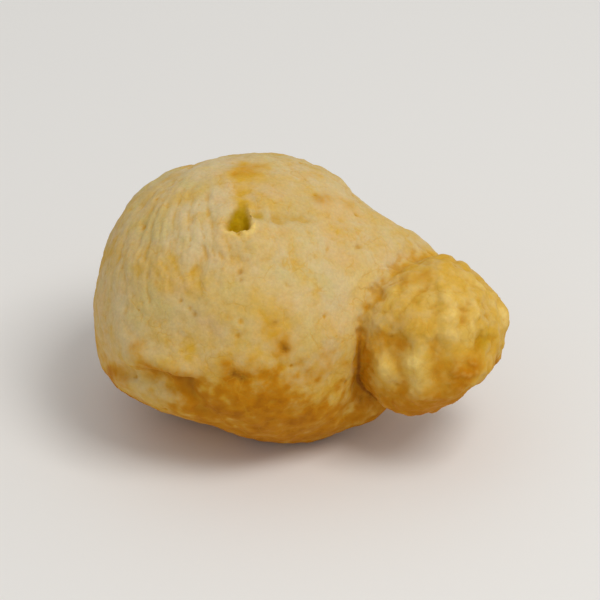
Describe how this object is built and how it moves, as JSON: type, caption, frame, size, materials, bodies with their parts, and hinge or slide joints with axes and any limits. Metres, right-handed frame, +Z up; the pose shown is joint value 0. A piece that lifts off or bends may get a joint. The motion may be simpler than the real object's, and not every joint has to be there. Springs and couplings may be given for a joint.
{
  "type": "cassava cheese bread",
  "caption": "Small puffed cheese bread of cassava starch: a pale, uneven round body with a steam vent, a browned base and a knob of burst dough at its side.",
  "frame": {"origin": "on the table, under the middle of the bread's box", "axes": "+Z up, +X from the body towards the knob's side, -Y towards the front that shows the knob and the vent"},
  "size_m": [0.0796, 0.0594, 0.051],
  "materials": {
    "crust": "matte baked crust, pale gold with toasted patches"
  },
  "bodies": {
    "root": {"bread": "crust"}
  },
  "joints": []
}
